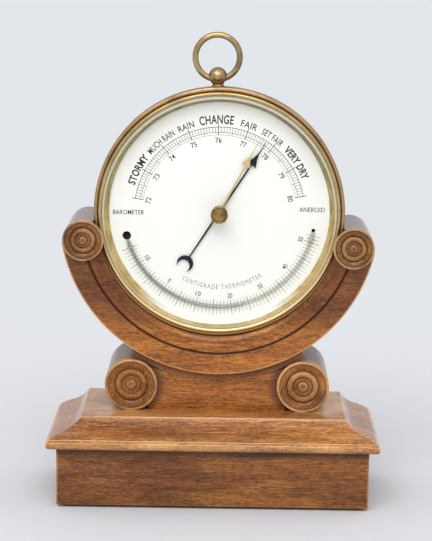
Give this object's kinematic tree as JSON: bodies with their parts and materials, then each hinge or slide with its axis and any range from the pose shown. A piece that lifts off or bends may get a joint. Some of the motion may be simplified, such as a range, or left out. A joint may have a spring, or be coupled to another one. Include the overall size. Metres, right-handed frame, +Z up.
{
  "type": "desk barometer",
  "caption": "Round brass aneroid barometer with a curved thermometer on its white dial, in a wooden cradle with turned scrolls on a moulded plinth.",
  "frame": {"origin": "on the floor under the middle of the plinth", "axes": "+Z up, dial faces -Y, +X to the viewer's right"},
  "size_m": [0.1716, 0.077, 0.2423],
  "materials": {
    "plinth_wood": "waxed beech stained walnut brown",
    "scroll_wood": "turned and waxed",
    "cradle_wood": "waxed, redder brown",
    "dowel_wood": "raw beech",
    "felt": "dark green baize",
    "case_brass": "lacquered, slightly dulled",
    "bezel_brass": "polished",
    "inner_brass": "plain",
    "glass": "clear, bevelled edge",
    "enamel": "white enamelled card, printed black",
    "mercury": "liquid metal",
    "steel": "plain",
    "blued_steel": "heat-blued",
    "capsule_metal": "tinned nickel silver"
  },
  "bodies": {
    "stand": {"base_felt": "felt", "plinth_block": "plinth_wood", "plinth_top": "plinth_wood", "plinth_screws": "steel", "pedestal_screws": "steel", "pedestal": "scroll_wood", "lower_roll_left": "scroll_wood", "lower_roll_right": "scroll_wood", "lower_roll_dowels": "dowel_wood", "cradle": "cradle_wood", "cradle_dowels": "dowel_wood", "upper_roll_left": "cradle_wood", "upper_roll_right": "cradle_wood", "upper_roll_dowels": "dowel_wood", "case_drum": "case_brass", "case_back": "case_brass", "case_screws": "steel", "bezel": "bezel_brass", "glass": "glass", "dial_ring": "bezel_brass", "dial": "enamel", "dial_plate": "inner_brass", "dial_seat": "inner_brass", "dial_screws": "steel", "thermometer_tube": "glass", "mercury_column": "mercury", "tube_clips": "inner_brass", "hairspring": "blued_steel", "hairspring_stud": "steel", "arbor_bridge": "inner_brass", "bridge_screws": "steel", "shaft_posts": "steel", "pivot_screws": "steel", "spring_bridge": "steel", "spring_bridge_screws": "steel", "capsule": "capsule_metal", "capsule_nut": "steel", "movement_plate": "inner_brass", "movement_spacers": "steel", "movement_screws": "steel", "movement_pillars": "inner_brass", "pendant": "case_brass", "pendant_nut": "inner_brass"},
    "hand": {"pressure_hand": "blued_steel", "hand_collet": "inner_brass", "hand_arbor": "steel", "chain_drum": "inner_brass"},
    "chain": {"chain": "steel"},
    "rocker": {"rocking_shaft": "steel"},
    "lever": {"main_spring": "blued_steel", "main_lever": "steel", "link_wire": "steel"},
    "set_hand": {"set_knob": "bezel_brass", "set_hand": "bezel_brass", "knob_washers": "bezel_brass"},
    "ring": {"suspension_ring": "case_brass"},
    "adjuster": {"adjusting_screw": "steel"}
  },
  "joints": [
    {"name": "hand_turn", "type": "hinge", "parent": "stand", "child": "hand", "pos_m": [0.0016, 0, 0.1502], "axis": [0, 1, 0], "range_deg": [-114, 46]},
    {"name": "chain_pull", "type": "slide", "parent": "stand", "child": "chain", "axis": [0.0262, 0, -0.9997], "range_m": [-0.0021, 0.0009]},
    {"name": "rocker_turn", "type": "hinge", "parent": "stand", "child": "rocker", "pos_m": [0.00238, 0.013, 0.12021], "axis": [0.9997, 0, 0.0262], "range_deg": [-14.5, 6]},
    {"name": "lever_tilt", "type": "hinge", "parent": "stand", "child": "lever", "pos_m": [0.00095, 0.018, 0.17519], "axis": [0.9997, 0, 0.0262], "range_deg": [-0.8, 0.4]},
    {"name": "set_hand_turn", "type": "hinge", "parent": "stand", "child": "set_hand", "pos_m": [0.0016, 0, 0.1502], "axis": [0, 1, 0], "continuous": true},
    {"name": "ring_swing", "type": "hinge", "parent": "stand", "child": "ring", "pos_m": [-0.00018, 0.014, 0.21828], "axis": [0.9997, 0, 0.0262], "range_deg": [-88, 88]},
    {"name": "adjuster_turn", "type": "hinge", "parent": "stand", "child": "adjuster", "pos_m": [0.00068, 0.036, 0.18519], "axis": [0, -1, 0], "range_deg": [-360, 360]}
  ],
  "couplings": [
    {"joint": "chain_pull", "follows": "hand_turn", "m_per_rad": 0.001},
    {"joint": "rocker_turn", "follows": "hand_turn", "ratio": 0.125},
    {"joint": "lever_tilt", "follows": "hand_turn", "ratio": 0.0066}
  ]
}
